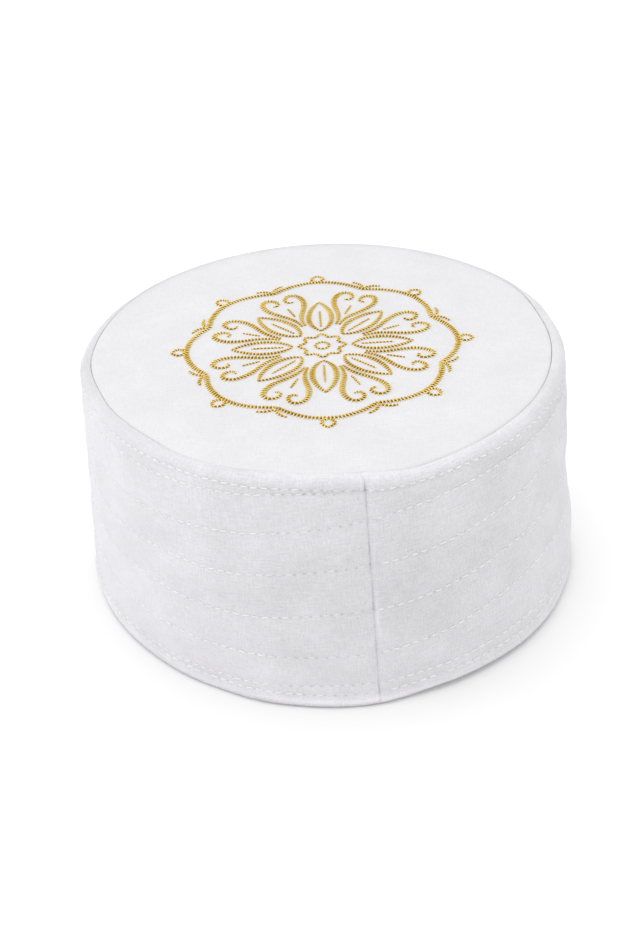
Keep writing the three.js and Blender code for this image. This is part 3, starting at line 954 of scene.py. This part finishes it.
leaf_side = curve((0.2, 0), (0.27, 0.105), (0.47, 0.105), (0.6, 0))
tulip_side = np.concatenate([
    curve((0.3, 0.012), (0.46, 0.012), (0.49, 0.11), (0.62, 0.14)),
    curve((0.62, 0.14), (0.75, 0.165), (0.78, 0.055), (0.69, 0.03))[1:],
    curve((0.69, 0.03), (0.655, 0.022), (0.635, 0.05), (0.65, 0.075))[1:],
])
leaf_rib = curve((0.26, 0), (0.34, 0), (0.40, 0), (0.47, 0))
tulip_rib = curve((0.45, 0), (0.49, 0), (0.53, 0), (0.57, 0))
drop_side = curve((0.905, 0), (0.93, 0.055), (0.97, 0.055), (1.0, 0))
sprig_side = curve((0.835, 0.0), (0.865, 0.01), (0.90, 0.05), (0.90, 0.10))
rosette = ring_path(lambda turn: 0.135 + 0.02 * np.cos(PETALS * turn))
eye_ring = ring_path(lambda turn: 0.045 + 0 * turn, 120)
garland = ring_path(lambda turn: 0.82 + 0.08 * np.abs(np.cos(PETALS / 2 * turn)))

leaf_threads = []
tulip_threads = []
garland_threads = worked(garland, 500, 1.2)
rosette_threads = worked(rosette, 501, 0.72) + worked(eye_ring, 502, 0.62)
for petal in range(PETALS):
    leaf_turn = petal * 360 / PETALS
    tulip_turn = leaf_turn + 180 / PETALS
    leaf_threads += worked(turned(leaf_rib, leaf_turn), 120 + petal, 0.55, 0.35)
    tulip_threads += worked(turned(tulip_rib, tulip_turn), 220 + petal, 0.55, 0.35)
    for threads, side, turn, first_seed, wide, narrow in (
        (leaf_threads, leaf_side, leaf_turn, 100, 1.2, 0.5),
        (tulip_threads, tulip_side, tulip_turn, 200, 1.25, 0.5),
        (garland_threads, drop_side, leaf_turn, 300, 0.8, 0.5),
        (garland_threads, sprig_side, tulip_turn, 400, 0.75, 0.45),
    ):
        for half, path in enumerate((side, mirrored(side))):
            seed = first_seed + petal * 2 + half
            threads.extend(worked(turned(path, turn), seed, wide, narrow))

for name, bundles, nodes_replaced in (
    ("embroidered_leaves", leaf_threads, [f"gold_leaf_{i + 1}" for i in range(PETALS)]),
    ("embroidered_tulips", tulip_threads, [f"gold_tulip_{i + 1}" for i in range(PETALS)]),
    ("embroidered_garland", garland_threads, ["gold_garland"]),
    ("embroidered_rosette", rosette_threads, ["gold_rosette"]),
):
    stitches = thread_piece(name, bundles, gold.material, GOLD_SIDES)
    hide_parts(*nodes_replaced)

# Ground, light and camera. A plain white studio floor under broad soft light from above and the
# left, seen from a little above the cap's front.
FLOOR_HALF = 4.0
PAPER_TONE = 0.912
STUDIO_LIGHT = 0.94
LIGHT_AIM = Vector((0, 0, 0.05))
floor_corners = [
    (-FLOOR_HALF, -FLOOR_HALF, 0),
    (FLOOR_HALF, -FLOOR_HALF, 0),
    (FLOOR_HALF, FLOOR_HALF, 0),
    (-FLOOR_HALF, FLOOR_HALF, 0),
]
floor_mesh = bpy.data.meshes.new("floor")
floor_mesh.from_pydata(floor_corners, [], [(0, 1, 2, 3)])
floor = bpy.data.objects.new("floor", floor_mesh)
bpy.context.scene.collection.objects.link(floor)
paper = Nodes("white_paper")
paper.surface(Base_Color=(PAPER_TONE, PAPER_TONE, PAPER_TONE, 1), Roughness=1.0, Specular_IOR_Level=0.0)
floor_mesh.materials.append(paper.material)

world = bpy.data.worlds.new("studio")
bpy.context.scene.world = world
world.use_nodes = True
background = world.node_tree.nodes["Background"]
background.inputs["Color"].default_value = (1.0, 0.995, 0.995, 1)
background.inputs["Strength"].default_value = STUDIO_LIGHT


def soft_light(name, at, size, power):
    """A round white panel that faces the cap, with its size in metres and its power in watts."""
    lamp = bpy.data.lights.new(name, "AREA")
    lamp.shape = "DISK"
    lamp.size = size
    lamp.energy = power
    holder = bpy.data.objects.new(name, lamp)
    holder.location = at
    holder.rotation_euler = (LIGHT_AIM - Vector(at)).to_track_quat("-Z", "Y").to_euler()
    bpy.context.scene.collection.objects.link(holder)


soft_light("overhead", (0.06, 0.12, 1.9), 2.3, 13.5)
soft_light("left_side", (-1.55, 0.1, 0.32), 1.1, 5.6)

ELEVATION = math.radians(34.32)
ROLL = math.radians(-3.20)
AIM = np.array([-6.85, 0, 38.37])
DISTANCE = 550.0
LENS = 54.23
SENSOR = 36
back = np.array([0, -math.cos(ELEVATION), math.sin(ELEVATION)])
level_right = np.array([1.0, 0, 0])
level_up = np.array([0, math.sin(ELEVATION), math.cos(ELEVATION)])
right = level_right * math.cos(ROLL) + level_up * math.sin(ROLL)
up = level_up * math.cos(ROLL) - level_right * math.sin(ROLL)
camera = bpy.data.objects.new("camera", bpy.data.cameras.new("camera"))
bpy.context.scene.collection.objects.link(camera)
bpy.context.scene.camera = camera
camera.data.lens = LENS
camera.data.sensor_width = SENSOR
matrix = np.eye(4)
matrix[:3, 0] = right
matrix[:3, 1] = up
matrix[:3, 2] = back
matrix[:3, 3] = (AIM + back * DISTANCE + np.append(CAP_MIDDLE, 0)) * MM
camera.matrix_world = Matrix(matrix.tolist())
bpy.context.scene.view_settings.view_transform = "Standard"
